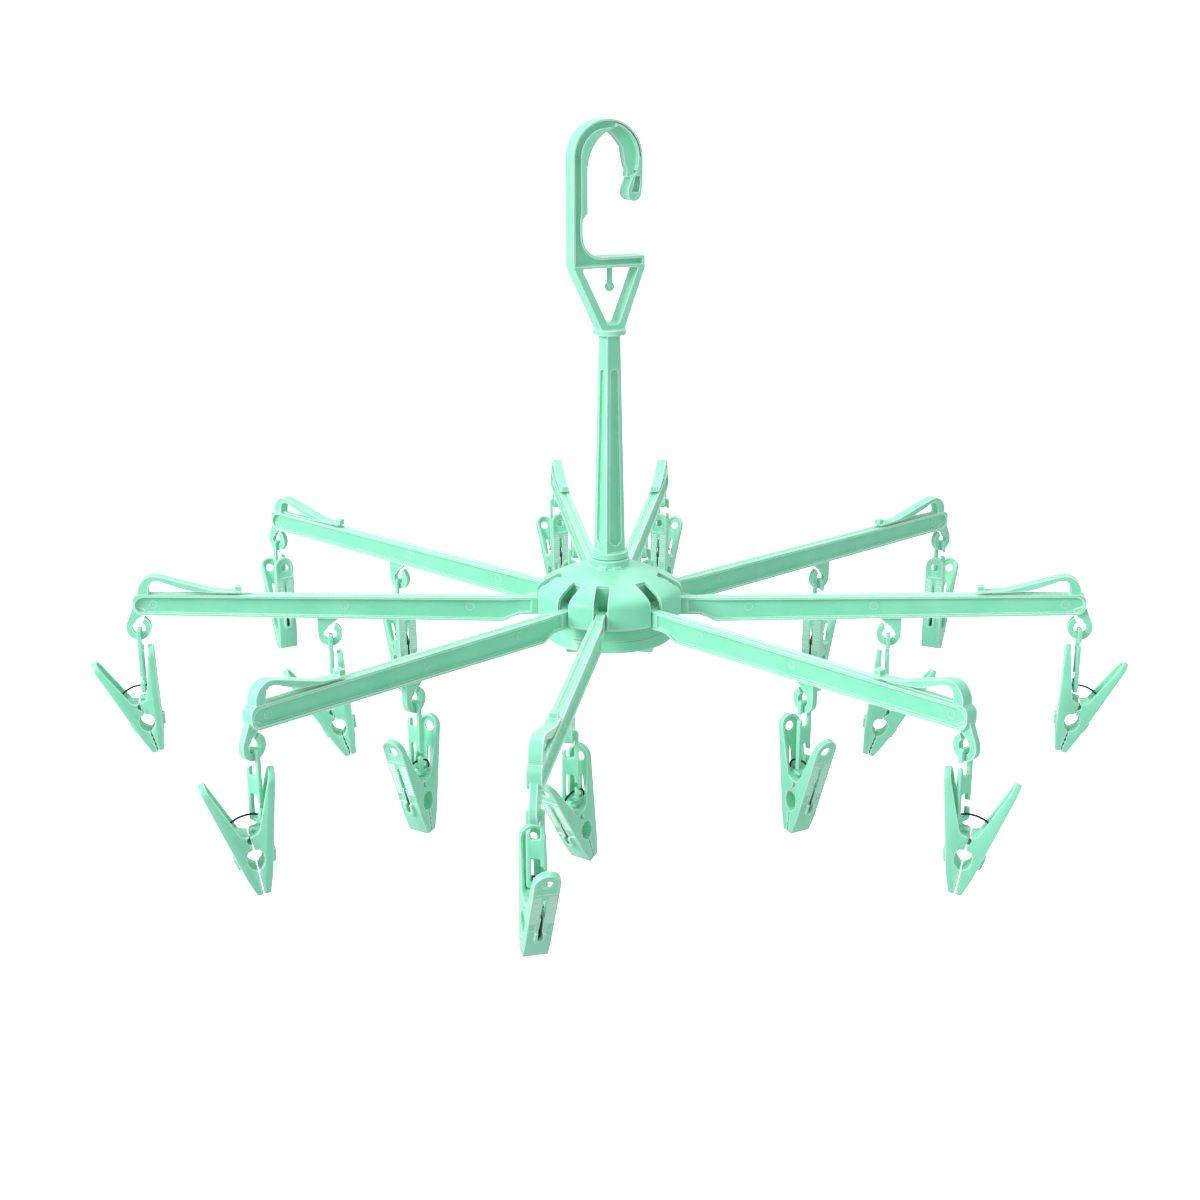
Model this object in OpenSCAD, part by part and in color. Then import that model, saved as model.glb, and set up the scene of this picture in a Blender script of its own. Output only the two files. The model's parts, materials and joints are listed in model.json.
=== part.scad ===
// Folding clip hanger: hook, swivelling stem, hub, nine folding arms and eighteen spring clips.
// Millimetres, Z up. The origin is the seat inside the hook, where the rail rests.
// Heights below are measured from the plane of the arm tips.

/* [Hook] */
// Thickness of the hook plate
hook_thick = 12.5; // [9:0.5:16]
// Turn of the hook plate about the swivel axis
hook_turn = 24; // [0:1:90]
// Outer radius of the hook arch
arch_r = 22.75; // [18:0.25:30]
// Depth of the recess in each face of the hook
hook_recess = 3; // [1:0.5:5]

/* [Stem] */
// Side of the square stem at the top
stem_top = 9.8; // [8:0.2:14]
// Side of the square stem at the bottom
stem_foot = 14.6; // [10:0.2:20]
// Turn of the stem about its own axis
stem_turn = 34; // [0:1:90]
// Depth of the channel in each stem face
stem_channel = 2.2; // [0.5:0.1:3]

/* [Hub] */
// Outer radius of the hub cover
cover_r = 47; // [42:0.5:60]
// Wall of the hub cover
cover_wall = 2.2; // [1.6:0.1:4]
// Outer radius of the base flange
flange_r = 41; // [36:0.5:50]
// Width of the arm slots in the cover
slot_w = 8.8; // [6.6:0.1:10]
// Width of the two rear arm slots in the cover
rear_slot_w = 6.6; // [6.4:0.1:7]

/* [Arms] */
// Distance from the hub axis to each arm pivot
pivot_r = 38; // [36:0.5:42]
// Distance from the hub axis to each arm tip
tip_r = 300; // [220:5:340]
// Upward slope of the opened arms
arm_slope = 2.65; // [0:0.05:6]
// Width of the arm section
arm_w = 8; // [6:0.5:12]
// Thickness of the arm neck inside the hub
neck_w = 5.6; // [4:0.1:6]
// Thickness of the web of the arm section
web_w = 2.8; // [2:0.1:5]
// Radius of the pivot pins
pin_r = 2; // [1.5:0.1:2.5]

/* [Clips] */
// Width of the clip jaws
jaw_w = 13.6; // [10:0.2:18]
// Width of the link plate
link_w = 9.6; // [8:0.2:12]
// Thickness of the link plate
link_t = 2.8; // [2:0.1:3.2]
// Lean of a hanging clip from the vertical, added to the lean each clip has of its own
clip_lean = 0; // [-2:0.5:2]
// Radius of the spring wire
wire_r = 0.55; // [0.4:0.05:0.7]

/* [Hidden] */
$fn = 48;
green = [0.45, 0.87, 0.7];
steel = [0.25, 0.27, 0.28];
// hub axis and tip plane, measured from the hook seat
seat_u = -2.3;
seat_z = 286;
// pivot height, and running clearance
pivot_z = -10.7;
play = 0.05;
arm_azimuths = [187, 231.3, 263, 308.7, 353, 34.6, 81.6, 98.4, 145.4];
rear_azimuths = [81.6, 98.4];
// radius and height of the centre of each curl ring
tip_ring = [tip_r - 2.2, -15.6];
mid_ring = [179.3, -24.6];
ring_r = 7.8;
ring_hole = 3.9;
ring_w = 4;
// arm side profile, measured from the pivot
arm_top = 5.5;
arm_len = tip_r - pivot_r + 0.4;
root_x = 31;
root_low = -10.4;
tip_low = -7.9;
neck_low = -5.7;
// spring bow: radius, height of its centre above the mouth end, and how far it hangs below the ring
bow_r = 16.93;
bow_a = 27.6;
link_reach = 38.5;
fulcrum_a = 32;
jaw_foot = 4.7;
jaw_top = 20.4;
jaw_len = 67.6;
jaw_tilt = atan((jaw_top - jaw_foot) / jaw_len);
stem_z0 = 24.6;
stem_z1 = 163.1;
disc_z = 163.4;

module in_hub() {
    translate([-seat_u * cos(hook_turn), -seat_u * sin(hook_turn), -seat_z])
        children();
}

module in_hook() {
    in_hub()
        rotate([0, 0, hook_turn])
            children();
}

module upright(thick) {
    rotate([90, 0, 0])
        linear_extrude(height = thick, center = true)
            children();
}

module in_arm(az, droop) {
    in_hub()
        rotate([0, 0, az])
            translate([pivot_r, 0, pivot_z])
                rotate([0, droop, 0])
                    children();
}

// ring centre from the pivot of an arm that lies level
function from_pivot(ring) = [ring[0] - pivot_r, 0, ring[1] - pivot_z];

module in_ring(az, ring, droop) {
    in_arm(az, droop)
        translate(from_pivot(ring))
            rotate([0, -droop, 0])
                children();
}

// ---- hook ----

module hook_throat() {
    translate([-7, 224.5])
        circle(r = 13.2);
    polygon([[-20.2, 224.5], [-20.2, 233.6], [-16.9, 237.4], [-16.9, 262], [16.4, 262], [12.8, 258.6],
        [9.7, 251], [9.5, 248.2], [60, 248.2], [60, 211.3], [-7, 211.3], [-7, 224.5]]);
    intersection() {
        translate([10.1, 262])
            circle(r = 27, $fn = 96);
        translate([-3.5, 269.7])
            circle(r = 19.95, $fn = 96);
        translate([-20, 261.9])
            square([40, 40]);
    }
}

module hook_outline() {
    translate([-3.5, 269.7])
        circle(r = arch_r, $fn = 96);
    polygon([[-26.25, 269.7], [-26.25, 205], [-7.8, 166.5], [7.4, 166.5], [21, 203.5], [21, 211.3],
        [-3.5, 225], [-3.5, 269.7]]);
    polygon([[9.5, 248.2], [18.3, 248.2], [19.25, 254], [19.25, 269.7], [9.5, 269.7]]);
}

module hook_leaf() {
    difference() {
        translate([-3.5, 269.7])
            circle(r = 20.2, $fn = 96);
        polygon([[-2.3, 286], [2.6, 281.4], [7.2, 275.4], [8.8, 265.8], [10.4, 262.1], [9.6, 257.8],
            [9, 245], [-30, 245], [-30, 300], [-2.3, 300]]);
        translate([9, 240])
            square([20, 18]);
    }
}

module hook_recesses() {
    for (part = [[17.5, -30], [20.7, 0.5]])
        difference() {
            translate([-3.5, 269.7])
                circle(r = 21.6, $fn = 96);
            translate([-3.5, 269.7])
                circle(r = part[0], $fn = 96);
            translate([-30, 229.7])
                square([60, 40]);
            translate([-28.5 - part[1], 229.7])
                square([28.5, 80]);
        }
    polygon([[-25.1, 269.6], [-25.1, 224.5], [-21.7, 224.5], [-21.7, 233], [-21, 238], [-21, 269.6]]);
    difference() {
        polygon([[-25.1, 224.5], [-25.1, 206.2], [19.4, 206.2], [19.4, 209.8], [-7, 209.8], [-7, 224.5]]);
        translate([-7, 224.5])
            circle(r = 14.7);
    }
    polygon([[11.8, 249], [16.8, 249], [17.6, 254], [17.6, 258.6], [14.5, 258.6]]);
}

module hook_window() {
    polygon([[-19.4, 204.5], [15.6, 204.5], [16.3, 203.2], [4, 171.2], [2.5, 170.2], [-2.9, 170.2],
        [-4.2, 171.4], [-20.2, 203.5]]);
}

module hook() {
    color(green)
        in_hook() {
            difference() {
                union() {
                    upright(hook_thick)
                        difference() {
                            hook_outline();
                            hook_throat();
                        }
                    upright(hook_thick)
                        difference() {
                            translate([13.9, 248.2])
                                circle(r = 4.4);
                            translate([0, 248.2])
                                square([30, 10]);
                        }
                    upright(6)
                        hook_leaf();
                }
                upright(hook_thick + 2)
                    hook_window();
                for (side = [-1, 1])
                    translate([0, side * hook_thick / 2, 0])
                        upright(2 * hook_recess)
                            hook_recesses();
            }
            // peg with a ball end inside the triangular frame
            translate([0, 0, 193])
                cylinder(r = 1.75, h = 12);
            translate([0, 0, 192.6])
                sphere(r = 3);
            // foot disc, spigot and retaining bead
            translate([0, 0, disc_z])
                cylinder(r = 10.3, h = 3.2);
            translate([0, 0, disc_z - 16])
                cylinder(r = 3, h = 17);
            translate([0, 0, disc_z - 18])
                cylinder(r1 = 2.6, r2 = 3.7, h = 2.5);
        }
}

// ---- stem ----

module stem_blank() {
    intersection_for (a = [0, 90])
        rotate([0, 0, a])
            upright(40)
                polygon([[-stem_foot / 2, stem_z0], [stem_foot / 2, stem_z0], [stem_top / 2, stem_z1],
                    [-stem_top / 2, stem_z1]]);
}

module stem_groove() {
    low = stem_foot / 2 - 3;
    high = stem_top / 2 - 2.2;
    polygon([[-low, stem_z0 + 9], [low, stem_z0 + 9], [high, stem_z1 - 24], [-high, stem_z1 - 24]]);
    translate([0, stem_z0 + 9])
        circle(r = low);
    translate([0, stem_z1 - 24])
        circle(r = high);
}

module stem() {
    taper = atan((stem_foot - stem_top) / 2 / (stem_z1 - stem_z0));
    color(green)
        in_hub()
            rotate([0, 0, stem_turn])
                difference() {
                    union() {
                        stem_blank();
                        translate([0, 0, 21])
                            cylinder(r = 12, h = 3.8);
                        translate([0, 0, 10.2])
                            cylinder(r = 7, h = 11);
                    }
                    for (a = [0:90:270])
                        rotate([0, 0, a])
                            translate([0, -stem_foot / 2, stem_z0])
                                rotate([-taper, 0, 0])
                                    translate([0, 0, -stem_z0])
                                        upright(2 * stem_channel)
                                            stem_groove();
                    translate([0, 0, disc_z - 17])
                        cylinder(r = 3 + play, h = 20);
                    translate([0, 0, disc_z - 19.5])
                        cylinder(r = 4, h = 4.3);
                    translate([0, 0, 9])
                        cylinder(r = 1.7, h = 12);
                }
}

module stem_washer() {
    color(steel)
        in_hub()
            translate([0, 0, 8.9])
                difference() {
                    cylinder(r = 10, h = 1.2);
                    translate([0, 0, -1])
                        cylinder(r = 1.8, h = 4);
                }
}

module stem_screw() {
    color(steel)
        in_hub()
            difference() {
                union() {
                    translate([0, 0, 6.9])
                        cylinder(r = 3.4, h = 1.9);
                    translate([0, 0, 8])
                        cylinder(r = 1.65, h = 11);
                }
                for (a = [0, 90])
                    translate([0, 0, 6.9])
                        rotate([0, 0, a])
                            cube([4, 0.8, 2], center = true);
            }
}

// ---- hub ----

module cover_outer() {
    polygon([[0, 20.4], [12.4, 20.4], [13, 19.8], [13, 15.2], [20, 13.7], [28, 11.1], [36, 7.6], [42, 4.5],
        [45, 2.4], [46.4, 0.6], [46.8, -1.4], [cover_r, -14.4], [0, -14.4]]);
}

module cover_inner() {
    polygon([[0, 10.4], [11, 10.4], [12.2, 12.4], [20, 11.3], [28, 8.7], [36, 5.2], [41.4, 2.4], [43.8, 0], [44.6, -2],
        [cover_r - cover_wall, -15], [0, -15]]);
}

function is_rear(az) = az == rear_azimuths[0] || az == rear_azimuths[1];

module arm_slots(neck, rear, low) {
    for (az = arm_azimuths)
        rotate([0, 0, az])
            translate([pivot_r - 7.3, -(is_rear(az) ? rear : neck) / 2, low])
                cube([30, is_rear(az) ? rear : neck, 60]);
}

module screw_places() {
    for (a = [15, 120, 165, 210, 285, 330])
        rotate([0, 0, a])
            translate([24, 0, 0])
                children();
}

module hub_cover() {
    color(green)
        in_hub()
            difference() {
                union() {
                    difference() {
                        rotate_extrude($fn = 96)
                            cover_outer();
                        rotate_extrude($fn = 96)
                            cover_inner();
                    }
                    screw_places()
                        translate([0, 0, -6])
                            cylinder(r = 3.4, h = 16.5);
                    // two small grip notches stand on the collar foot
                    for (a = [250, 292])
                        rotate([0, 0, a])
                            translate([13, 0, 15.4])
                                cube([2.4, 5, 2.2], center = true);
                }
                arm_slots(slot_w, rear_slot_w, -16);
                translate([0, 0, 8])
                    cylinder(r = 7 + play, h = 14);
                screw_places()
                    translate([0, 0, -8])
                        cylinder(r = 1.3, h = 15);
            }
}

module base_outer() {
    polygon([[0, -14], [34.2, -14], [37, -25.4], [38.4, -25.8], [flange_r, -31], [flange_r, -31.7],
        [39, -31.7], [37, -29.4], [0, -29.4]]);
}

module base_lugs() {
    difference() {
        cylinder(r = 43, h = 12, $fn = 96);
        translate([0, 0, -1])
            cylinder(r = 33, h = 14, $fn = 96);
    }
}

module hub_base() {
    color(green)
        in_hub()
            difference() {
                union() {
                    rotate_extrude($fn = 96)
                        base_outer();
                    translate([0, 0, -16.5])
                        base_lugs();
                }
                // hollow of the base
                translate([0, 0, -27.2])
                    cylinder(r = 31, h = 20, $fn = 96);
                // the arms' resting floor is 16.8 below the tip plane
                arm_slots(neck_w + 0.6, neck_w + 0.6, -16.8);
                for (az = arm_azimuths)
                    rotate([0, 0, az])
                        translate([pivot_r, pin_len(az, 1) + 0.1, pivot_z])
                            rotate([90, 0, 0])
                                cylinder(r = pin_r + 0.02, h = pin_len(az, 1) + pin_len(az, -1) + 0.2);
                screw_places()
                    translate([0, 0, -32])
                        cylinder(r = 1.7, h = 20);
            }
    // posts that carry the screws up to the cover
    color(green)
        in_hub()
            screw_places()
                translate([0, 0, -28])
                    difference() {
                        cylinder(r = 3.4, h = 21.7);
                        translate([0, 0, -1])
                            cylinder(r = 1.7, h = 24);
                    }
}

module hub_screws() {
    color(steel)
        in_hub()
            screw_places()
                difference() {
                    union() {
                        translate([0, 0, -31.2])
                            cylinder(r = 3, h = 1.7);
                        translate([0, 0, -30])
                            cylinder(r = 1.2, h = 34);
                    }
                    for (a = [0, 90])
                        translate([0, 0, -31.2])
                            rotate([0, 0, a])
                                cube([4, 0.8, 1.6], center = true);
                }
}

// pins are short on the side where the two rear arms face each other
function pin_len(az, side) =
    (az == rear_azimuths[0] && side > 0) || (az == rear_azimuths[1] && side < 0) ? 4.1 : 7;

module arm_pins() {
    color(steel)
        in_hub()
            for (az = arm_azimuths)
                rotate([0, 0, az])
                    translate([pivot_r, pin_len(az, 1), pivot_z])
                        rotate([90, 0, 0])
                            cylinder(r = pin_r, h = pin_len(az, 1) + pin_len(az, -1));
}

// ---- arms ----

function low_at(x) = root_low + (tip_low - root_low) * (x - root_x) / (arm_len - root_x);

module arm_outline() {
    polygon([[0, arm_top], [0, neck_low], [20, neck_low - 0.4], [25, -7.6], [28, -9.4], [root_x, root_low],
        [arm_len - 6.4, low_at(arm_len - 6.4)], [arm_len - 6.4, arm_top]]);
    translate([arm_len - 6.4, low_at(arm_len - 6.4) + 6.4])
        circle(r = 6.4);
    translate([arm_len - 4, arm_top - 4])
        circle(r = 4);
    polygon([[arm_len - 7, arm_top], [arm_len - 4, arm_top], [arm_len, arm_top - 4], [arm_len, -1.4],
        [arm_len - 7, -1.4]]);
}

module arm_plan() {
    neck = neck_w / 2;
    polygon([[-10, -neck], [20, -neck], [30, -arm_w / 2], [arm_len + 5, -arm_w / 2],
        [arm_len + 5, arm_w / 2], [30, arm_w / 2], [20, neck], [-10, neck]]);
}

module arm_pocket() {
    polygon([[13, arm_top - 1.6], [13, -4], [20, -4.4], [25, -6.1], [28, -7.8], [root_x, -8.9],
        [arm_len - 7, low_at(arm_len) + 1.6], [arm_len - 6, arm_top - 1.6]]);
    translate([arm_len - 6.4, -1.4])
        circle(r = 5);
}

module curl_ring(sx) {
    // ring with its mouth on the hub side of the top, and the neck up to the arm
    upright(ring_w)
        difference() {
            circle(r = ring_r);
            circle(r = ring_hole);
            polygon([[0, 0], [-5, 9], [2, 9], [1.4, 3]]);
        }
    upright(ring_w)
        difference() {
            polygon(sx);
            circle(r = ring_hole + 0.6);
        }
}

module finger() {
    // sprung finger: post, arch and belly above the arm tip
    x0 = arm_len;
    polygon([[x0 - 3.2, 5], [x0 - 3.2, 9.4], [x0 - 4.4, 12.4], [x0 - 6.6, 15.2], [x0 - 9.6, 17.1],
        [x0 - 13, 17.7], [x0 - 17.2, 17], [x0 - 33.6, 12.9], [x0 - 49.6, 8.6], [x0 - 60, 7.9], [x0 - 66, 7.9],
        [x0 - 66, 6.9], [x0 - 60, 6.9], [x0 - 49.6, 7.1], [x0 - 41, 7.6], [x0 - 33.6, 8.4], [x0 - 25.5, 10.9],
        [x0 - 16.7, 14.1], [x0 - 12.8, 14.3], [x0 - 10.4, 12.4], [x0 - 9.8, 9], [x0 - 9.8, 5]]);
}

module arm_at(az, droop) {
    color(green)
        in_arm(az, droop - arm_slope) {
            difference() {
                intersection() {
                    upright(arm_w) {
                        arm_outline();
                        circle(r = 5.6);
                    }
                    translate([0, 0, -20])
                        linear_extrude(height = 40)
                            arm_plan();
                }
                for (side = [-1, 1])
                    translate([0, side * arm_w / 2, 0])
                        upright(arm_w - web_w)
                            arm_pocket();
                upright(20)
                    circle(r = pin_r + play);
                translate([20, -1.8, arm_top - 0.5])
                    cube([arm_len - 34, 3.6, 2]);
            }
            upright(arm_w - 0.6)
                finger();
            // small knob on the free end of the finger
            translate([arm_len - 64.6, 0, 9.2])
                cube([4.4, 5, 4], center = true);
            // raised strip under the finger
            translate([arm_len - 58, -1.4, arm_top - 1])
                cube([50, 2.8, 1.7]);
        }
    color(green)
        in_arm(az, droop)
            translate(from_pivot(tip_ring))
                curl_ring([[7.8, 0], [7.4, 3.4], [5.4, 8], [2.2, 15], [-5, 11.8], [-4.8, 9.4], [-1.2, 6.6],
                [2.6, 4], [3.9, 0]]);
    color(green)
        in_arm(az, droop)
            translate(from_pivot(mid_ring))
                curl_ring([[7.8, 0], [7.9, 4], [7.9, 12.4], [-8, 11.6], [-5.4, 10], [-1.2, 6.6], [2.6, 4],
                [3.9, 0]]);
}

// ---- clips: X points away from the hub and Z up, measured from the ring centre. Each clip has its
// own turn, lean and place along its spring bow, as it happens to hang ----

module link_plate() {
    rotate([90, 0, 90])
        linear_extrude(height = link_t, center = true)
            difference() {
                union() {
                    translate([-link_w / 2, -41.4])
                        square([link_w, 39.7]);
                    translate([-link_w / 2 + 1.2, -42.6])
                        square([link_w - 2.4, 42.1]);
                    for (y = [-41.4, -1.7])
                        for (x = [-1, 1])
                            translate([x * (link_w / 2 - 1.2), y])
                                circle(r = 1.2, $fn = 24);
                }
                translate([-2.5, -16.5])
                    square([5, 13.1]);
                translate([-2.5, -40])
                    square([5, 13.4]);
                polygon([[-6, -13.2], [-2, -10.8], [-2, -8.6], [-3.4, -8], [-6, -10.6]]);
                polygon([[6, -35.8], [2, -34], [2, -31.6], [3.4, -31], [6, -33.2]]);
            }
}

module in_clip(yaw, lean, slide) {
    rotate([0, 0, yaw])
        translate([slide, 0, -link_reach - sqrt(pow(bow_r, 2) - pow(slide, 2))])
            rotate([0, lean + clip_lean, 0])
                translate([0, 0, -bow_a])
                    children();
}

module jaw_outline(notch) {
    // outer face leans outward; the inner side carries flange, side window and mouth
    difference() {
        union() {
            polygon([[notch, 0], [jaw_foot, 0], [jaw_top, jaw_len - 1], [16.4, jaw_len - 1], [4.9, 35.8],
                [2.6, 34.6], [notch, 34.2], [notch, 0]]);
            translate([18.4, jaw_len - 1])
                circle(r = 2);
        }
        polygon([[-1, 14.6], [notch, 14.6], [3.4, 17], [4.3, 19.5], [4.3, 23.4], [3, 25.6], [-1, 26.6]]);
    }
}

module jaw_body(notch) {
    difference() {
        intersection() {
            upright(jaw_w)
                jaw_outline(notch);
            union() {
                translate([-10, -jaw_w / 2, -1])
                    cube([40, jaw_w, jaw_len - 4.5]);
                translate([-10, 0, jaw_len - jaw_w / 2 + 1])
                    rotate([0, 90, 0])
                        cylinder(r = jaw_w / 2, h = 40);
            }
        }
        // hollow between the flanges of the handle
        upright(jaw_w - 3.4)
            polygon([[-2, 36.4], [11.4, 36.4], [17, 62], [0, 62]]);
        // round hole near the handle end and long slot for the spring
        translate([10, 0, 60.4])
            rotate([0, 90, 0])
                cylinder(r = 2.7, h = 20);
        translate([jaw_foot - 0.6, 0, 0])
            rotate([0, jaw_tilt, 0]) {
                translate([-1.5, -1.2, 20])
                    cube([6, 2.4, 28]);
                translate([-1.5, 0, 48])
                    rotate([0, 90, 0])
                        cylinder(r = 1.2, h = 6, $fn = 24);
            }
    }
    // small boss that holds the spring leg
    translate([jaw_foot, 0, 0])
        rotate([0, jaw_tilt, 0])
            translate([0.6, 0, 17.6])
                cube([2.6, 5, 3.2], center = true);
}

module teeth(shift) {
    for (i = [0:3])
        translate([0, 0, 1.6 + 3.2 * i + shift])
            upright(jaw_w - 1)
                polygon([[-0.45, 0], [0.3, -0.7], [0.3, 0.7]]);
}

module spring_leg(a0, a1) {
    translate([jaw_foot - 0.9, 0, 0])
        rotate([0, jaw_tilt, 0])
            translate([0, 0, a0])
                cylinder(r = wire_r, h = a1 - a0, $fn = 24);
}

module clip_at(az, ring, droop, yaw, lean, slide) {
    color(green)
        in_ring(az, ring, droop) {
            link_plate();
            in_clip(yaw, lean, slide) {
                mirror([1, 0, 0])
                    jaw_body(0.2);
                upright(jaw_w)
                    difference() {
                        translate([0, fulcrum_a])
                            circle(r = 2);
                        translate([0.2, 34.2])
                            square([3, 3]);
                    }
                // tongue above the fulcrum
                translate([-5.4, -2.2, 35.6])
                    cube([5.2, 4.4, 1.5]);
                teeth(1.6);
            }
        }
    // spring bow, and the leg behind the fixed jaw
    color(steel)
        in_ring(az, ring, droop)
            in_clip(yaw, lean, slide) {
                translate([0, 0, bow_a])
                    rotate([90, 0, 0])
                        rotate([0, 0, 50])
                            rotate_extrude(angle = 90)
                                translate([bow_r, 0])
                                    circle(r = wire_r, $fn = 24);
                mirror([1, 0, 0])
                    spring_leg(20.8, 39.4);
            }
}

module jaw_at(az, ring, droop, yaw, lean, slide) {
    color(green)
        in_ring(az, ring, droop)
            in_clip(yaw, lean, slide)
                difference() {
                    jaw_body(0.2);
                    upright(20)
                        translate([0, fulcrum_a])
                            circle(r = 2.3);
                    translate([-2, -10, 29.6])
                        cube([2.2, 20, 6]);
                    teeth(1.6);
                }
    // the leg of the spring behind the opening jaw
    color(steel)
        in_ring(az, ring, droop)
            in_clip(yaw, lean, slide)
                spring_leg(20.8, 32.2);
}

module arm_left() {
    arm_at(187, 0);
}

module clip_left_tip() {
    clip_at(187, tip_ring, 0, 5, 15.5, 1.2);
}

module jaw_left_tip() {
    jaw_at(187, tip_ring, 0, 5, 15.5, 1.2);
}

module clip_left_mid() {
    clip_at(187, mid_ring, 0, 2, 19, -0.5);
}

module jaw_left_mid() {
    jaw_at(187, mid_ring, 0, 2, 19, -0.5);
}

module arm_front_left() {
    arm_at(231.3, 0);
}

module clip_front_left_tip() {
    clip_at(231.3, tip_ring, 0, -34, 9, 3.4);
}

module jaw_front_left_tip() {
    jaw_at(231.3, tip_ring, 0, -34, 9, 3.4);
}

module clip_front_left_mid() {
    clip_at(231.3, mid_ring, 0, 8, 7, -0.8);
}

module jaw_front_left_mid() {
    jaw_at(231.3, mid_ring, 0, 8, 7, -0.8);
}

module arm_front() {
    arm_at(263, 1.5);
}

module clip_front_tip() {
    clip_at(263, tip_ring, 1.5, 22, 16, -0.5);
}

module jaw_front_tip() {
    jaw_at(263, tip_ring, 1.5, 22, 16, -0.5);
}

module clip_front_mid() {
    clip_at(263, mid_ring, 1.5, -28, 19.5, -4);
}

module jaw_front_mid() {
    jaw_at(263, mid_ring, 1.5, -28, 19.5, -4);
}

module arm_front_right() {
    arm_at(308.7, 0);
}

module clip_front_right_tip() {
    clip_at(308.7, tip_ring, 0, 34, 9, 3.4);
}

module jaw_front_right_tip() {
    jaw_at(308.7, tip_ring, 0, 34, 9, 3.4);
}

module clip_front_right_mid() {
    clip_at(308.7, mid_ring, 0, -8, 7, -0.8);
}

module jaw_front_right_mid() {
    jaw_at(308.7, mid_ring, 0, -8, 7, -0.8);
}

module arm_right() {
    arm_at(353, 0);
}

module clip_right_tip() {
    clip_at(353, tip_ring, 0, -5, 15.5, 1.2);
}

module jaw_right_tip() {
    jaw_at(353, tip_ring, 0, -5, 15.5, 1.2);
}

module clip_right_mid() {
    clip_at(353, mid_ring, 0, -2, 19, -0.5);
}

module jaw_right_mid() {
    jaw_at(353, mid_ring, 0, -2, 19, -0.5);
}

module arm_back_right() {
    arm_at(34.6, 0);
}

module clip_back_right_tip() {
    clip_at(34.6, tip_ring, 0, 26, 14.5, -0.3);
}

module jaw_back_right_tip() {
    jaw_at(34.6, tip_ring, 0, 26, 14.5, -0.3);
}

module clip_back_right_mid() {
    clip_at(34.6, mid_ring, 0, 27, 16, -1);
}

module jaw_back_right_mid() {
    jaw_at(34.6, mid_ring, 0, 27, 16, -1);
}

module arm_rear_right() {
    arm_at(81.6, 0);
}

module clip_rear_right_tip() {
    clip_at(81.6, tip_ring, 0, -16, 17, -0.8);
}

module jaw_rear_right_tip() {
    jaw_at(81.6, tip_ring, 0, -16, 17, -0.8);
}

module clip_rear_right_mid() {
    clip_at(81.6, mid_ring, 0, 0, 6, 5);
}

module jaw_rear_right_mid() {
    jaw_at(81.6, mid_ring, 0, 0, 6, 5);
}

module arm_rear_left() {
    arm_at(98.4, 0);
}

module clip_rear_left_tip() {
    clip_at(98.4, tip_ring, 0, 16, 17, -0.8);
}

module jaw_rear_left_tip() {
    jaw_at(98.4, tip_ring, 0, 16, 17, -0.8);
}

module clip_rear_left_mid() {
    clip_at(98.4, mid_ring, 0, 0, 6, 5);
}

module jaw_rear_left_mid() {
    jaw_at(98.4, mid_ring, 0, 0, 6, 5);
}

module arm_back_left() {
    arm_at(145.4, 0);
}

module clip_back_left_tip() {
    clip_at(145.4, tip_ring, 0, -26, 14.5, -0.3);
}

module jaw_back_left_tip() {
    jaw_at(145.4, tip_ring, 0, -26, 14.5, -0.3);
}

module clip_back_left_mid() {
    clip_at(145.4, mid_ring, 0, -27, 16, -1);
}

module jaw_back_left_mid() {
    jaw_at(145.4, mid_ring, 0, -27, 16, -1);
}

hook();
stem();
stem_washer();
stem_screw();
hub_cover();
hub_base();
hub_screws();
arm_pins();
arm_left();
arm_front_left();
arm_front();
arm_front_right();
arm_right();
arm_back_right();
arm_rear_right();
arm_rear_left();
arm_back_left();
clip_left_tip();
jaw_left_tip();
clip_left_mid();
jaw_left_mid();
clip_front_left_tip();
jaw_front_left_tip();
clip_front_left_mid();
jaw_front_left_mid();
clip_front_tip();
jaw_front_tip();
clip_front_mid();
jaw_front_mid();
clip_front_right_tip();
jaw_front_right_tip();
clip_front_right_mid();
jaw_front_right_mid();
clip_right_tip();
jaw_right_tip();
clip_right_mid();
jaw_right_mid();
clip_back_right_tip();
jaw_back_right_tip();
clip_back_right_mid();
jaw_back_right_mid();
clip_rear_right_tip();
jaw_rear_right_tip();
clip_rear_right_mid();
jaw_rear_right_mid();
clip_rear_left_tip();
jaw_rear_left_tip();
clip_rear_left_mid();
jaw_rear_left_mid();
clip_back_left_tip();
jaw_back_left_tip();
clip_back_left_mid();
jaw_back_left_mid();
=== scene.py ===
"""Looks for the folding clip hanger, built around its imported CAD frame."""

import json
import math

import bmesh
import bpy
from mathutils import Matrix, Vector


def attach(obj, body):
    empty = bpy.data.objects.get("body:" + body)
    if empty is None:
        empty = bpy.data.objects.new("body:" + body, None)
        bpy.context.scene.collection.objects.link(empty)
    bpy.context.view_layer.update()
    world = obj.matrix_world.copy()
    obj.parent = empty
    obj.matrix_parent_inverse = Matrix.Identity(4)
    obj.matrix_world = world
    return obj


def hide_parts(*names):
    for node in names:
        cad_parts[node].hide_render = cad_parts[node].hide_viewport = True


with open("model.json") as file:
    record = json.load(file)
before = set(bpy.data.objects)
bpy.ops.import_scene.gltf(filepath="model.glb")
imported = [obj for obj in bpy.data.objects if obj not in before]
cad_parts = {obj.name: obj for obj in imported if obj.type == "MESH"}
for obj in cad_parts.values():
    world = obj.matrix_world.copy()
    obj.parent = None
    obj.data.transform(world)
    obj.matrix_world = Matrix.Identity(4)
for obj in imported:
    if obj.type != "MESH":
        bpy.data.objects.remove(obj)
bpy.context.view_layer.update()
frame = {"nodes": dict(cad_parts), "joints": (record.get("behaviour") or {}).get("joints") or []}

MM = 0.001

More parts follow.
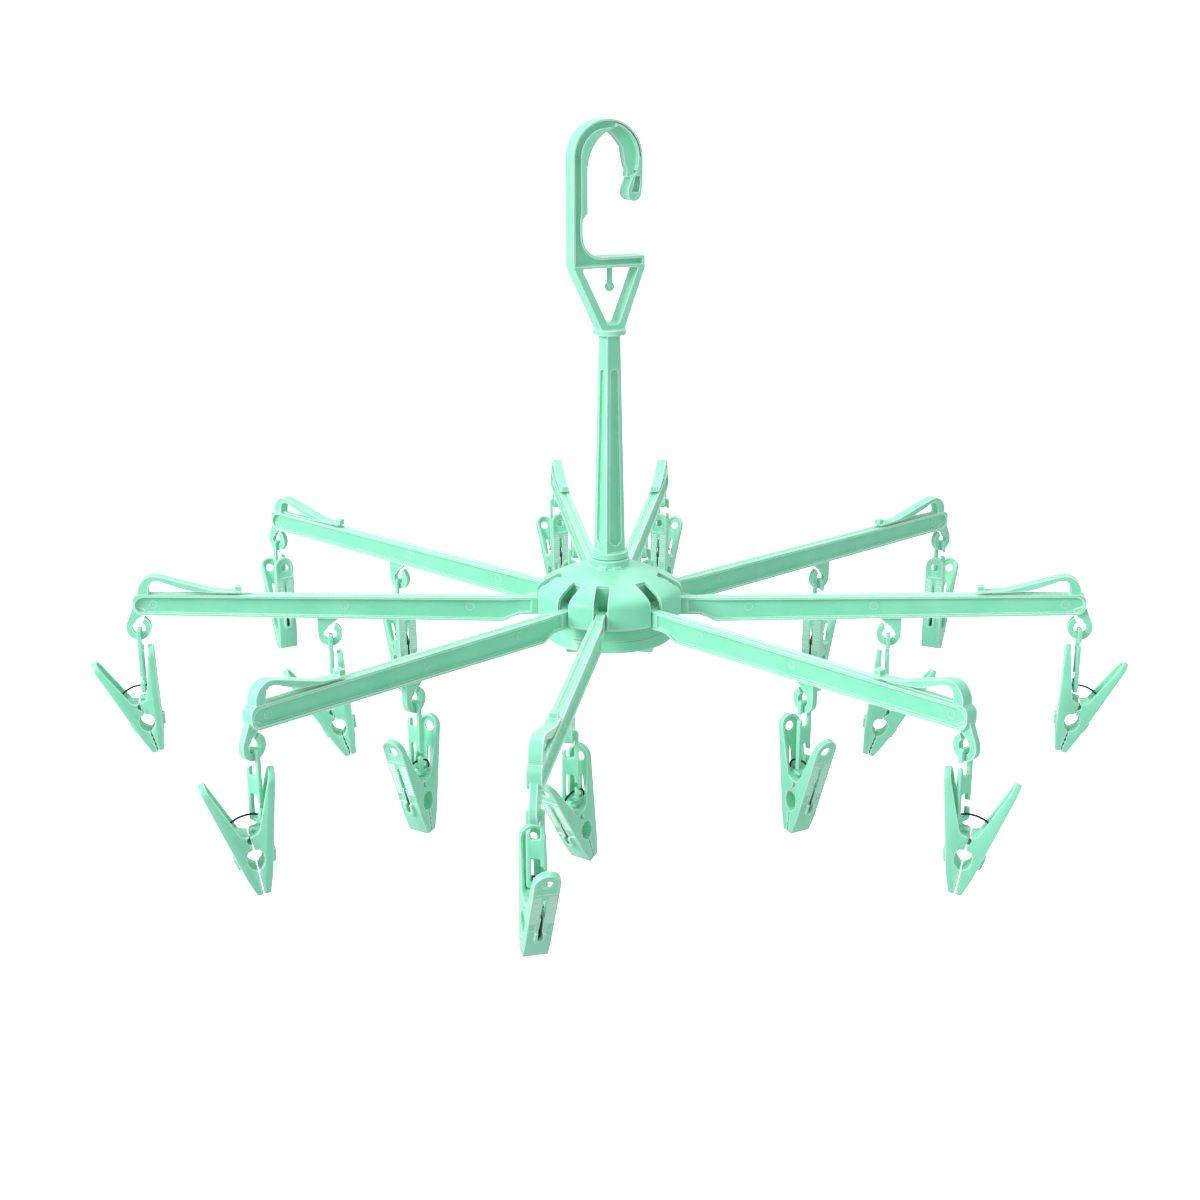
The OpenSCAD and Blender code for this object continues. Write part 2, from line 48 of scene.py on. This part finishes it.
# ---------------------------------------------------------------- places taken from the frame
JOINTS = {j["name"]: j for j in frame["joints"]}
HUB = Vector(JOINTS["hub_swivel"]["pos_m"])
HUB_ABOVE_TIPS = 20.7
TIP_PLANE = HUB.z - HUB_ABOVE_TIPS * MM
AXIS = Vector((HUB.x, HUB.y, TIP_PLANE))
ARMS = [name[len("arm_fold_"):] for name in JOINTS if name.startswith("arm_fold_")]
CLIPS = [name[len("clip_swing_"):] for name in JOINTS if name.startswith("clip_swing_")]
# angle from an arm's tip ring up to its axis, in degrees, and the arm's length
RING_BELOW = 3.73
ARM_LEN = 262.4
# height of a clip's fulcrum above its mouth
FULCRUM = 32
# direction from the fulcrum to the middle of the opening jaw's rounded end
HANDLE_ANGLE = math.atan2(18.4, 66.6 - FULCRUM)


def outward(joint):
    """Level direction square to a joint's axis, pointing away from the hub."""
    axis = JOINTS[joint]["axis"]
    return Vector((-axis[1], axis[0], 0))


def facing(direction):
    """Turn about Z that brings X to a level direction."""
    return Matrix.Rotation(math.atan2(direction.y, direction.x), 4, "Z")


def link_frame(clip):
    """Ring centre, X away from the hub and Z up, in metres."""
    joint = "clip_swing_" + clip
    return Matrix.Translation(JOINTS[joint]["pos_m"]) @ facing(outward(joint))


def clip_frame(clip):
    """Mouth end of a clip, X towards the opening jaw and Z along the jaws, in metres.

    The lean is read off the opening jaw, whose far end lies HANDLE_ANGLE from the clip's axis.
    """
    aside = outward("jaw_open_" + clip)
    fulcrum = Vector(JOINTS["jaw_open_" + clip]["pos_m"])
    reach = [v.co - fulcrum for v in frame["nodes"]["jaw_" + clip].data.vertices]
    far = max(reach, key=lambda r: r.dot(aside) ** 2 + r.z ** 2)
    lean = math.atan2(far.dot(aside), far.z) - HANDLE_ANGLE
    turn = facing(aside) @ Matrix.Rotation(lean, 4, "Y")
    return Matrix.Translation(fulcrum) @ turn @ Matrix.Translation((0, 0, -FULCRUM * MM))


def arm_frame(arm):
    """Pivot of an arm, X along the arm and Z up, in metres."""
    pivot = Vector(JOINTS["arm_fold_" + arm]["pos_m"])
    along = outward("arm_fold_" + arm)
    ring = Vector(JOINTS["clip_swing_" + arm + "_tip"]["pos_m"]) - pivot
    rise = math.atan2(ring.z, ring.dot(along)) + math.radians(RING_BELOW)
    tilted = facing(along) @ Matrix.Rotation(-rise, 4, "Y")
    return Matrix.Translation(pivot) @ tilted


# ---------------------------------------------------------------- materials
def new_material(name):
    mat = bpy.data.materials.new(name)
    mat.use_nodes = True
    nodes = mat.node_tree.nodes
    return mat, nodes, mat.node_tree.links, nodes["Principled BSDF"]


def edge_mask(nodes, links, radius, low=0.995, high=0.88):
    """1 on edges and 0 on open faces, from how far a bevelled normal turns away."""
    bevel = nodes.new("ShaderNodeBevel")
    bevel.samples = 6
    bevel.inputs["Radius"].default_value = radius
    geometry = nodes.new("ShaderNodeNewGeometry")
    dot = nodes.new("ShaderNodeVectorMath")
    dot.operation = "DOT_PRODUCT"
    links.new(bevel.outputs["Normal"], dot.inputs[0])
    links.new(geometry.outputs["Normal"], dot.inputs[1])
    ramp = nodes.new("ShaderNodeMapRange")
    ramp.inputs["From Min"].default_value = low
    ramp.inputs["From Max"].default_value = high
    links.new(dot.outputs["Value"], ramp.inputs["Value"])
    return ramp.outputs["Result"]


def noise(nodes, links, coords, scale, detail=3.0):
    tex = nodes.new("ShaderNodeTexNoise")
    tex.inputs["Scale"].default_value = scale
    tex.inputs["Detail"].default_value = detail
    links.new(coords, tex.inputs["Vector"])
    return tex.outputs["Fac"]


def blended(nodes, links, factor, first, second):
    """Mix of two colours, given as numbers or as an output."""
    mix = nodes.new("ShaderNodeMix")
    mix.data_type = "RGBA"
    links.new(factor, mix.inputs["Factor"])
    for socket, colour in (("A", first), ("B", second)):
        if isinstance(colour, tuple):
            mix.inputs[socket].default_value = (*colour, 1)
        else:
            links.new(colour, mix.inputs[socket])
    return mix.outputs["Result"]


def ranged(nodes, links, value, low, high):
    """Spreads the usual range of a noise over low to high."""
    span = nodes.new("ShaderNodeMapRange")
    span.inputs["From Min"].default_value = 0.3
    span.inputs["From Max"].default_value = 0.7
    span.inputs["To Min"].default_value = low
    span.inputs["To Max"].default_value = high
    links.new(value, span.inputs["Value"])
    return span.outputs["Result"]


def bumped(nodes, links, height, strength, distance):
    bump = nodes.new("ShaderNodeBump")
    bump.inputs["Strength"].default_value = strength
    bump.inputs["Distance"].default_value = distance
    links.new(height, bump.inputs["Height"])
    return bump.outputs["Normal"]


def moulded_plastic(name, low, high, edge, rough, rim):
    """Injection-moulded plastic: mottled colour, a painted highlight that lightens every thin edge,
    faint waviness and grain.
    """
    mat, nodes, links, shader = new_material(name)
    coords = nodes.new("ShaderNodeTexCoord").outputs["Object"]
    mottle = ranged(nodes, links, noise(nodes, links, coords, 45, 4), 0, 1)
    tint = blended(nodes, links, mottle, low, high)
    # painted highlight: the near-white edge colour is mixed in over every edge within the rim radius,
    # in place of light caught on the edges
    painted_edge_highlight = blended(nodes, links, edge_mask(nodes, links, rim * MM), tint, edge)
    links.new(painted_edge_highlight, shader.inputs["Base Color"])
    gloss = ranged(nodes, links, noise(nodes, links, coords, 160, 2), *rough)
    links.new(gloss, shader.inputs["Roughness"])
    grain = noise(nodes, links, coords, 700, 3)
    links.new(bumped(nodes, links, grain, 0.16, 0.15 * MM), shader.inputs["Normal"])
    shader.inputs["Specular IOR Level"].default_value = 0.7
    shader.inputs["Sheen Weight"].default_value = 0.35
    shader.inputs["Sheen Roughness"].default_value = 0.4
    shader.inputs["Subsurface Weight"].default_value = 0.25
    shader.inputs["Subsurface Radius"].default_value = (0.5, 1.0, 0.8)
    shader.inputs["Subsurface Scale"].default_value = 1.6 * MM
    return mat


def dark_wire(name, low, high):
    """Drawn spring steel: dark, with fine scratches along the wire."""
    mat, nodes, links, shader = new_material(name)
    coords = nodes.new("ShaderNodeTexCoord").outputs["Object"]
    tint = blended(nodes, links, noise(nodes, links, coords, 300, 3), low, high)
    links.new(tint, shader.inputs["Base Color"])
    gloss = ranged(nodes, links, noise(nodes, links, coords, 700, 2), 0.28, 0.5)
    links.new(gloss, shader.inputs["Roughness"])
    scratches = noise(nodes, links, coords, 1500, 2)
    links.new(bumped(nodes, links, scratches, 0.2, 0.05 * MM), shader.inputs["Normal"])
    shader.inputs["Metallic"].default_value = 1.0
    return mat


MINT = moulded_plastic(
    "mint_plastic",
    low=(0.225, 0.74, 0.50),
    high=(0.285, 0.79, 0.56),
    # edge is the colour of the painted highlight on every edge, and rim is its width in mm
    edge=(0.80, 0.97, 0.90),
    rough=(0.30, 0.46),
    rim=1.3,
)
STEEL = dark_wire("spring_steel", low=(0.02, 0.02, 0.023), high=(0.07, 0.07, 0.075))


# ---------------------------------------------------------------- outlines and solids, in mm
# turns of a flat outline: into the XZ plane, and into the YZ plane
UPRIGHT = Matrix(((1, 0, 0, 0), (0, 0, -1, 0), (0, 1, 0, 0), (0, 0, 0, 1)))
ACROSS = Matrix(((0, 0, 1, 0), (1, 0, 0, 0), (0, 1, 0, 0), (0, 0, 0, 1)))


def fillet(points, radius, steps=4):
    """A closed outline with rounded corners; a point may carry its own radius as a third number."""
    out = []
    for i, point in enumerate(points):
        here = Vector(point[:2])
        back = Vector(points[i - 1][:2]) - here
        ahead = Vector(points[(i + 1) % len(points)][:2]) - here
        half = back.angle(ahead) / 2
        own = point[2] if len(point) > 2 else radius
        cut = min(own / math.tan(half), 0.48 * back.length, 0.48 * ahead.length)
        if cut < 0.02:
            out.append(here)
            continue
        start = here + back.normalized() * cut
        end = here + ahead.normalized() * cut
        middle = (back.normalized() + ahead.normalized()).normalized()
        centre = here + middle * (cut / math.cos(half))
        sweep = (start - centre).angle_signed(end - centre)
        for k in range(steps + 1):
            turned = Matrix.Rotation(-sweep * k / steps, 2) @ (start - centre)
            out.append(centre + turned)
    return out


def disc(x, y, radius, count=32):
    turns = [2 * math.pi / count * k for k in range(count)]
    return [Vector((x + radius * math.cos(t), y + radius * math.sin(t))) for t in turns]


def arc(x, y, radius, start, end, count=12):
    """Points from one angle to another, in degrees."""
    turns = [math.radians(start + (end - start) * k / count) for k in range(count + 1)]
    return [(x + radius * math.cos(t), y + radius * math.sin(t)) for t in turns]


def plate(outlines, thick, edge=0.0, turn=UPRIGHT):
    """A flat solid with rounded edges; the first outline is its rim and the rest are holes."""
    curve = bpy.data.curves.new("plate", "CURVE")
    curve.dimensions = "2D"
    curve.fill_mode = "BOTH"
    curve.bevel_depth = edge
    curve.bevel_resolution = 1
    curve.offset = -edge
    curve.extrude = thick / 2 - edge
    for outline in outlines:
        spline = curve.splines.new("POLY")
        spline.points.add(len(outline) - 1)
        for point, place in zip(spline.points, outline):
            point.co = (place[0], place[1], 0, 1)
        spline.use_cyclic_u = True
    holder = bpy.data.objects.new("plate", curve)
    mesh = bpy.data.meshes.new_from_object(holder)
    bpy.data.objects.remove(holder)
    bpy.data.curves.remove(curve)
    weld(mesh, 1e-4)
    mesh.transform(turn)
    return mesh


def weld(mesh, distance):
    grid = bmesh.new()
    grid.from_mesh(mesh)
    bmesh.ops.remove_doubles(grid, verts=grid.verts, dist=distance)
    bmesh.ops.recalc_face_normals(grid, faces=grid.faces)
    grid.to_mesh(mesh)
    grid.free()


def baked(mesh, *steps):
    """The mesh after modifiers, each given as (type, settings)."""
    holder = bpy.data.objects.new("step", mesh)
    bpy.context.collection.objects.link(holder)
    for kind, settings in steps:
        modifier = holder.modifiers.new(kind, kind)
        for key, value in settings.items():
            setattr(modifier, key, value)
    depsgraph = bpy.context.evaluated_depsgraph_get()
    result = bpy.data.meshes.new_from_object(holder.evaluated_get(depsgraph))
    bpy.data.objects.remove(holder)
    bpy.data.meshes.remove(mesh)
    return result


def joined(operation, base, *tools):
    """Boolean of a mesh with others, which are used up."""
    for tool in tools:
        other = bpy.data.objects.new("tool", tool)
        bpy.context.collection.objects.link(other)
        settings = {"operation": operation, "solver": "EXACT", "object": other}
        base = baked(base, ("BOOLEAN", settings))
        bpy.data.objects.remove(other)
        bpy.data.meshes.remove(tool)
    return base


def rounded_off(mesh, width, segments=2, limit=38):
    """Merges flat faces, then rounds every sharp edge."""
    return baked(
        mesh,
        ("DECIMATE", {"decimate_type": "DISSOLVE", "angle_limit": math.radians(0.5)}),
        (
            "BEVEL",
            {
                "width": width,
                "segments": segments,
                "limit_method": "ANGLE",
                "angle_limit": math.radians(limit),
                "use_clamp_overlap": False,
                "miter_outer": "MITER_ARC",
            },
        ),
    )


def finished(mesh, material):
    """Scales millimetres to metres, shades and dresses a mesh."""
    mesh.transform(Matrix.Scale(MM, 4))
    mesh.shade_smooth()
    mesh.set_sharp_from_angle(angle=math.radians(32))
    mesh.materials.clear()
    mesh.materials.append(material)
    return mesh


# ---------------------------------------------------------------- clip
# A jaw is made on the +X side: mouth at Z 0, handle above the fulcrum, outer face sloping outwards.
JAW_W = 13.6
JAW_LEN = 67.6
# distance of the outer face from the clip's middle, at the mouth and at the handle's end
JAW_FOOT, JAW_TOP = 4.7, 20.4
TILT = math.atan2(JAW_TOP - JAW_FOOT, JAW_LEN)
# frame of the outer face: X out of it, Y across it and Z up along it
FACE = Matrix.Translation((JAW_FOOT, 0, 0)) @ Matrix.Rotation(TILT, 4, "Y")
FACE_LEN = JAW_LEN / math.cos(TILT)
HANDLE_R = JAW_W / 2
# centre of the handle's round end, up the face
HEAD = FACE_LEN - HANDLE_R - 0.1
# walls left round the handle's hollow and round its shallow panel
HOLLOW_WALL, PANEL_WALL = 1.7, 1.3
# thickness of cutters that go right through
THROUGH, DEEP = 40, 60
# round seat in the opening jaw, and the nose on the fixed jaw that sits in it
SEAT_R, NOSE_R = 2.3, 2.0
FINGER_HOLE_R = 2.7
# ribs of the ladder on each side of the spring slot
RIBS, RIB_FOOT, RIB_STEP, RIB_ASIDE, RIB_HALF = 15, 30.9, 1.5, 3.95, 0.42
# teeth of the mouth
TEETH, TOOTH_FOOT, TOOTH_STEP = 4, 2.2, 3.2
WIRE_R = 0.6
# the wire comes out of the collar at this height up the face
WIRE_FOOT = 17.2
MIRROR = Matrix.Scale(-1, 4, (1, 0, 0))


def on_face(outlines, thick, depth, edge=0.0):
    """A plate parallel to the jaw's outer face, with its middle that far below the face."""
    mesh = plate(outlines, thick, edge, ACROSS)
    mesh.transform(FACE @ Matrix.Translation((-depth, 0, 0)))
    return mesh


def slab(x0, y0, x1, y1):
    """Outline of a rectangle."""
    return [(x0, y0), (x1, y0), (x1, y1), (x0, y1)]


def slot(half, low, high, tip):
    """Outline of a slot with a round foot and a narrower round head."""
    return arc(0, low + half, half, 180, 360, 10) + arc(0, high - tip, tip, 0, 180, 10)


def arch(half, low, centre):
    """Outline with a flat foot and a round head."""
    return [(-half, low), (half, low)] + arc(0, centre, half, 0, 180, 24)


def jaw_profile():
    """Side view of a jaw: mouth, outer face, handle's end, inner side and shoulder."""
    high = JAW_LEN + 2
    mouth = [(0.25, 0), (3.7, 0, 0.5)]
    outer = [(7.25, 11.0, 4), (JAW_TOP + 0.45, high, 0.1)]
    inner = [(17.2, high, 0.1), (15.9, JAW_LEN - 3, 1), (4.9, 35.8, 2.5)]
    shoulder = [(2.6, 34.6, 0.8), (0.25, 34.3, 0.9)]
    return fillet(mouth + outer + inner + shoulder, 0.3)


def side_window():
    """Half of the six-sided hole seen between the closed jaws."""
    middle = [(-1, 14.6), (1.0, 14.6), (3.6, 17)]
    far = [(4.5, 19.5), (4.5, 23.4), (3, 25.8), (-1, 26.8)]
    return fillet(middle + far, 0.9)


def hollow_jaw():
    """A jaw's body with its handle hollowed from inside and its face recessed."""
    body = plate([jaw_profile()], JAW_W)
    body = joined("INTERSECT", body, on_face([arch(HANDLE_R, -3, HEAD)], DEEP, 0))
    hollow = on_face([arch(HANDLE_R - HOLLOW_WALL, 30, HEAD)], THROUGH, 21.9)
    above_shoulder = plate([slab(-30, 36.6, 40, 90)], THROUGH)
    hollow = joined("INTERSECT", hollow, above_shoulder)
    panel = on_face([arch(HANDLE_R - PANEL_WALL, 54.2, HEAD)], 1.0, 0)
    right_pocket = on_face([slab(2.9, 23.6, 5.9, 29)], 1.2, 0)
    left_pocket = on_face([slab(-5.9, 23.6, -2.9, 29)], 1.2, 0)
    finger_hole = on_face([disc(0, 61.6, FINGER_HOLE_R)], 12, 0)
    handle_slot = on_face([slot(1.25, 33.5, 49.5, 0.75)], 9.0, 0)
    window = plate([side_window()], THROUGH)
    pockets = (panel, right_pocket, left_pocket, finger_hole, handle_slot)
    return joined("DIFFERENCE", body, hollow, window, *pockets)


def wire_collar():
    """Raised rim round the foot of the spring slot."""
    outer = arc(0, 17.9, 2.9, 180, 360, 16) + [(2.7, 23.2), (1.3, 23.2)]
    inner = arc(0, 17.9, 1.25, 360, 180, 12) + [(-1.3, 23.2), (-2.7, 23.2)]
    return on_face([outer + inner], 2.8, -0.3, 0.3)


def spring_tongue():
    """Small tongue between the handles, just above the shoulder."""
    tip = [(0.9, 37.2), (0.3, 36.6), (0.4, 35.9)]
    return plate([fillet([(6.2, 35.6), (6.2, 37.2)] + tip + [(2.5, 35.5)], 0.3)], 4.4, 0.2)


def jaw_grooves():
    """Cutters for the spring slot, the ladder beside it and the teeth."""
    grooves = [on_face([slot(1.2, 16.7, 34.5, 0.6)], 7.4, 0)]
    diamond = [(-RIB_HALF, 0), (0, -RIB_HALF), (RIB_HALF, 0), (0, RIB_HALF)]
    for k in range(RIBS):
        for side in (-1, 1):
            rib = plate([diamond], 4.1)
            place = (0, side * RIB_ASIDE, RIB_FOOT + RIB_STEP * k)
            rib.transform(FACE @ Matrix.Translation(place))
            grooves.append(rib)
    for k in range(TEETH):
        z = TOOTH_FOOT + TOOTH_STEP * k
        tooth = [(-0.4, z - 1), (0.26, z - 1), (0.8, z), (0.26, z + 1), (-0.4, z + 1)]
        grooves.append(plate([tooth], JAW_W + 2))
    return grooves


def jaw_mesh(opening):
    """The opening jaw, or the fixed jaw before it is mirrored to its own side."""
    body = hollow_jaw()
    if opening:
        body = joined("DIFFERENCE", body, plate([disc(0, FULCRUM, SEAT_R, 28)], THROUGH))
    else:
        nose = plate([disc(0, FULCRUM, NOSE_R, 28)], JAW_W - 0.4)
        nose = joined("INTERSECT", nose, plate([slab(-3, 26, 0.4, 34.2)], THROUGH))
        nose.transform(MIRROR)
        body = joined("UNION", body, nose)
    # fine detail comes after the edges are rounded
    body = joined("UNION", rounded_off(body, 0.32), wire_collar())
    if not opening:
        body = joined("UNION", body, spring_tongue())
    return joined("DIFFERENCE", body, *jaw_grooves())


def fixed_jaw_mesh():
    mesh = jaw_mesh(False)
    mesh.transform(MIRROR)
    mesh.flip_normals()
    return mesh


def link_mesh():
    """Flat link measured from the ring's centre: two windows, each with a slanting snap gap."""
    outer = fillet(slab(-4.8, -42.6, 4.8, -0.5), 1.6, 6)
    upper = fillet(slab(-2.5, -16.5, 2.5, -3.4), 1.1)
    lower = fillet(slab(-2.5, -40, 2.5, -26.6), 1.1)
    mesh = plate([outer, upper, lower], 2.8)
    upper_gap = [(-6.4, -13.4), (-1.6, -10.9), (-1.6, -8.5), (-3.4, -7.9), (-6.4, -10.6)]
    lower_gap = [(6.4, -36), (6.4, -33.4), (3.4, -30.9), (1.6, -31.5), (1.6, -34.1)]
    for gap in (upper_gap, lower_gap):
        mesh = joined("DIFFERENCE", mesh, plate([fillet(gap, 0.3)], 9))
    mesh = rounded_off(mesh, 0.5, 3)
    mesh.transform(Matrix.Rotation(math.radians(90), 4, "Z"))
    return mesh


def wire(points):
    """A round wire along points, with closed ends."""
    curve = bpy.data.curves.new("wire", "CURVE")
    curve.dimensions = "3D"
    curve.bevel_depth = WIRE_R
    curve.bevel_resolution = 3
    curve.use_fill_caps = True
    spline = curve.splines.new("POLY")
    spline.points.add(len(points) - 1)
    for point, place in zip(spline.points, points):
        point.co = (*place, 1)
    holder = bpy.data.objects.new("wire", curve)
    mesh = bpy.data.meshes.new_from_object(holder)
    bpy.data.objects.remove(holder)
    bpy.data.curves.remove(curve)
    weld(mesh, 1e-4)
    return mesh


def leg(high, count=6):
    """Points up the slot, just below the jaw's face."""
    climb = (high - WIRE_FOOT) / count
    return [FACE @ Vector((-0.9, 0, WIRE_FOOT + climb * k)) for k in range(count + 1)]


def bow_mesh():
    """Leg in the fixed jaw's slot, then the arc over to the opening jaw."""
    up = [Vector((-p.x, p.y, p.z)) for p in leg(38.2)]
    over = [Vector((x, 0, z)) for x, z in arc(0, 27.6, 16.9, 134, 46, 20)]
    return wire(up + over)


def short_leg_mesh():
    return wire(leg(32.2))


# ---------------------------------------------------------------- placing pieces
def add_piece(name, mesh, body, place, *nodes):
    """Places a mesh on its body, in the stead of the CAD nodes named last."""
    piece = bpy.data.objects.new(name, mesh)
    bpy.context.collection.objects.link(piece)
    piece.matrix_world = place
    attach(piece, body)
    if nodes:
        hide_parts(*nodes)


OPENING_JAW = finished(jaw_mesh(True), MINT)
FIXED_JAW = finished(fixed_jaw_mesh(), MINT)
LINK = finished(link_mesh(), MINT)
BOW = finished(bow_mesh(), STEEL)
SHORT_LEG = finished(short_leg_mesh(), STEEL)

for clip in CLIPS:
    hanging, moving = "clip_" + clip, "jaw_" + clip
    place = clip_frame(clip)
    add_piece("fixed_jaw_" + clip, FIXED_JAW, hanging, place, hanging)
    add_piece("link_" + clip, LINK, hanging, link_frame(clip), hanging)
    add_piece("spring_bow_" + clip, BOW, hanging, place, hanging)
    add_piece("opening_jaw_" + clip, OPENING_JAW, moving, place, moving)
    add_piece("spring_leg_" + clip, SHORT_LEG, moving, place, moving)


# wall inside the hub: radii, height, and height of its middle above the tip plane
WALL_OUTER, WALL_INNER, WALL_HIGH, WALL_MIDDLE = 30, 28.6, 34.4, -9.8
# ejector marks: places along an arm, height on its web, radii, and thickness over both faces
MARK_PLACES = (ARM_LEN - 12.5, ARM_LEN - 131, 52)
MARK_Z, MARK_OUTER, MARK_INNER, MARK_THICK, WEB_FACE = -1.4, 2.6, 2.15, 0.24, 1.46


def wall_ring():
    """Wall inside the hub that closes the inner ends of the arm slots."""
    rims = [disc(0, 0, WALL_OUTER, 64), disc(0, 0, WALL_INNER, 64)]
    mesh = plate(rims, WALL_HIGH, 0.3, Matrix.Identity(4))
    mesh.transform(Matrix.Translation((0, 0, WALL_MIDDLE)))
    return mesh


def ejector_marks():
    """Faint rings that ejector pins leave on both faces of an arm's web."""
    grid = bmesh.new()
    for x in MARK_PLACES:
        rims = [disc(x, MARK_Z, MARK_OUTER, 28), disc(x, MARK_Z, MARK_INNER, 28)]
        for side in (-1, 1):
            mark = plate(rims, MARK_THICK)
            mark.transform(Matrix.Translation((0, side * WEB_FACE, 0)))
            grid.from_mesh(mark)
            bpy.data.meshes.remove(mark)
    whole = bpy.data.meshes.new("marks")
    grid.to_mesh(whole)
    grid.free()
    return whole


add_piece("hub_inner_wall", finished(wall_ring(), MINT), "hub", Matrix.Translation(AXIS))
MARKS = finished(ejector_marks(), MINT)
for arm in ARMS:
    add_piece("ejector_marks_" + arm, MARKS, "arm_" + arm, arm_frame(arm))


# ---------------------------------------------------------------- CAD nodes: finish and rounded edges
STEEL_NODES = ("stem_washer", "stem_screw", "hub_screws", "arm_pins")
CAD_ROUNDING = 0.35 * MM


def soften(obj):
    """Rounds the sharp edges of a moulding and keeps its flat faces flat."""
    obj.data.shade_smooth()
    close = obj.modifiers.new("weld", "WELD")
    close.merge_threshold = 0.002 * MM
    merge = obj.modifiers.new("faces", "DECIMATE")
    merge.decimate_type = "DISSOLVE"
    merge.angle_limit = math.radians(1.5)
    bevel = obj.modifiers.new("edges", "BEVEL")
    bevel.width = CAD_ROUNDING
    bevel.segments = 2
    bevel.limit_method = "ANGLE"
    bevel.angle_limit = math.radians(32)
    bevel.miter_outer = "MITER_ARC"
    bevel.use_clamp_overlap = True
    even = obj.modifiers.new("shading", "WEIGHTED_NORMAL")
    even.weight = 100
    even.keep_sharp = False


for node, obj in frame["nodes"].items():
    steel = node in STEEL_NODES
    obj.data.materials.clear()
    obj.data.materials.append(STEEL if steel else MINT)
    if not steel and not node.startswith(("clip_", "jaw_")):
        soften(obj)


# ---------------------------------------------------------------- stage: floor, lights, camera
# half width of the floor and radius of the wall round it, and how far the floor is below the arms
SURROUND = 9
FLOOR_DROP = 0.6


def glowing_white(name):
    """Plain white that looks the same whatever light falls on it."""
    mat, _, _, shader = new_material(name)
    shader.inputs["Base Color"].default_value = (1, 1, 1, 1)
    shader.inputs["Roughness"].default_value = 1
    shader.inputs["Emission Color"].default_value = (1, 1, 1, 1)
    shader.inputs["Emission Strength"].default_value = 1.0
    return mat


def add_backdrop(name, mesh, place):
    """White to look at, without adding light of its own to the object."""
    mesh.materials.append(glowing_white(name + "_white"))
    sheet = bpy.data.objects.new(name, mesh)
    sheet.location = place
    sheet.visible_diffuse = False
    sheet.visible_glossy = False
    sheet.visible_transmission = False
    sheet.visible_shadow = False
    bpy.context.collection.objects.link(sheet)


def grown_mesh(name, operator, **settings):
    """A mesh from one of bmesh's own shapes."""
    mesh = bpy.data.meshes.new(name)
    grid = bmesh.new()
    operator(grid, **settings)
    grid.to_mesh(mesh)
    grid.free()
    return mesh


def add_area(name, place, target, size, power):
    """A square lamp, in metres and watts, turned towards a target."""
    light = bpy.data.lights.new(name, "AREA")
    light.shape = "SQUARE"
    light.size = size
    light.energy = power
    lamp = bpy.data.objects.new(name, light)
    lamp.location = place
    lamp.rotation_euler = (target - place).to_track_quat("-Z", "Y").to_euler()
    lamp.visible_camera = False
    bpy.context.collection.objects.link(lamp)


def set_world(strength):
    world = bpy.data.worlds.new("studio")
    world.use_nodes = True
    background = world.node_tree.nodes["Background"]
    background.inputs["Color"].default_value = (1, 1, 1, 1)
    background.inputs["Strength"].default_value = strength
    bpy.context.scene.world = world


def add_camera(target, distance, elevation, lens, shift):
    """Camera in front of the target, looking along +Y and down by the elevation in degrees."""
    data = bpy.data.cameras.new("camera")
    data.sensor_width = 36
    data.lens = lens
    data.shift_x, data.shift_y = shift
    camera = bpy.data.objects.new("camera", data)
    tilt = math.radians(elevation)
    camera.location = target + distance * Vector((0, -math.cos(tilt), math.sin(tilt)))
    camera.rotation_euler = (math.radians(90) - tilt, 0, 0)
    bpy.context.collection.objects.link(camera)
    bpy.context.scene.camera = camera


floor = grown_mesh("floor", bmesh.ops.create_grid, x_segments=2, y_segments=2, size=SURROUND)
wall = grown_mesh(
    "wall", bmesh.ops.create_uvsphere, u_segments=48, v_segments=24, radius=SURROUND
)
add_backdrop("floor", floor, (0, 0, TIP_PLANE - FLOOR_DROP))
add_backdrop("wall", wall, AXIS)
set_world(0.69)
add_area("key", AXIS + Vector((-1.5, -0.9, 0.9)), AXIS, size=0.9, power=32)
add_area("top", AXIS + Vector((0.1, 0.7, 1.7)), AXIS, size=1.1, power=16)
add_camera(AXIS, distance=1.130, elevation=17.1, lens=52.5, shift=(-0.0079, -0.01125))
bpy.context.scene.view_settings.view_transform = "Standard"
